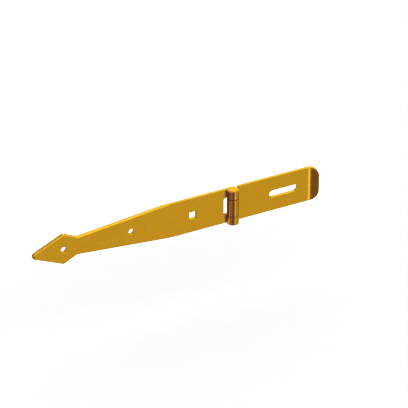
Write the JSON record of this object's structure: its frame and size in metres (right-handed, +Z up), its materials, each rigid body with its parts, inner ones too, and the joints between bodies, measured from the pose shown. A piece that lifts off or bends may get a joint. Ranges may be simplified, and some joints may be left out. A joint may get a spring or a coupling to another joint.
{
  "type": "strap hinge hasp",
  "caption": "Long spear-ended strap leaf with fixing holes, hinged on a riveted pin to a short slotted hasp leaf with a bent tip, for locking a gate with a padlock staple.",
  "frame": {"origin": "centre of the square bolt hole on the gate face of the strap leaf", "axes": "+Z up along the hinge pin, +X along the strap from its spear point to the hasp tip, +Y into the gate"},
  "size_m": [0.2922, 0.0112, 0.0365],
  "materials": {
    "strap_plating": "yellow passivated zinc plating, satin",
    "hasp_plating": "yellow passivated zinc plating, satin",
    "pin_plating": "yellow passivated zinc plating, satin"
  },
  "bodies": {
    "strap": {"strap_leaf": "strap_plating", "hinge_pin": "pin_plating"},
    "hasp": {"hasp_leaf": "hasp_plating"}
  },
  "joints": [
    {"name": "hasp_swing", "type": "hinge", "parent": "strap", "child": "hasp", "pos_m": [0.04005, -0.0056, 0], "axis": [0, 0, -1], "range_deg": [-90, 180]}
  ]
}
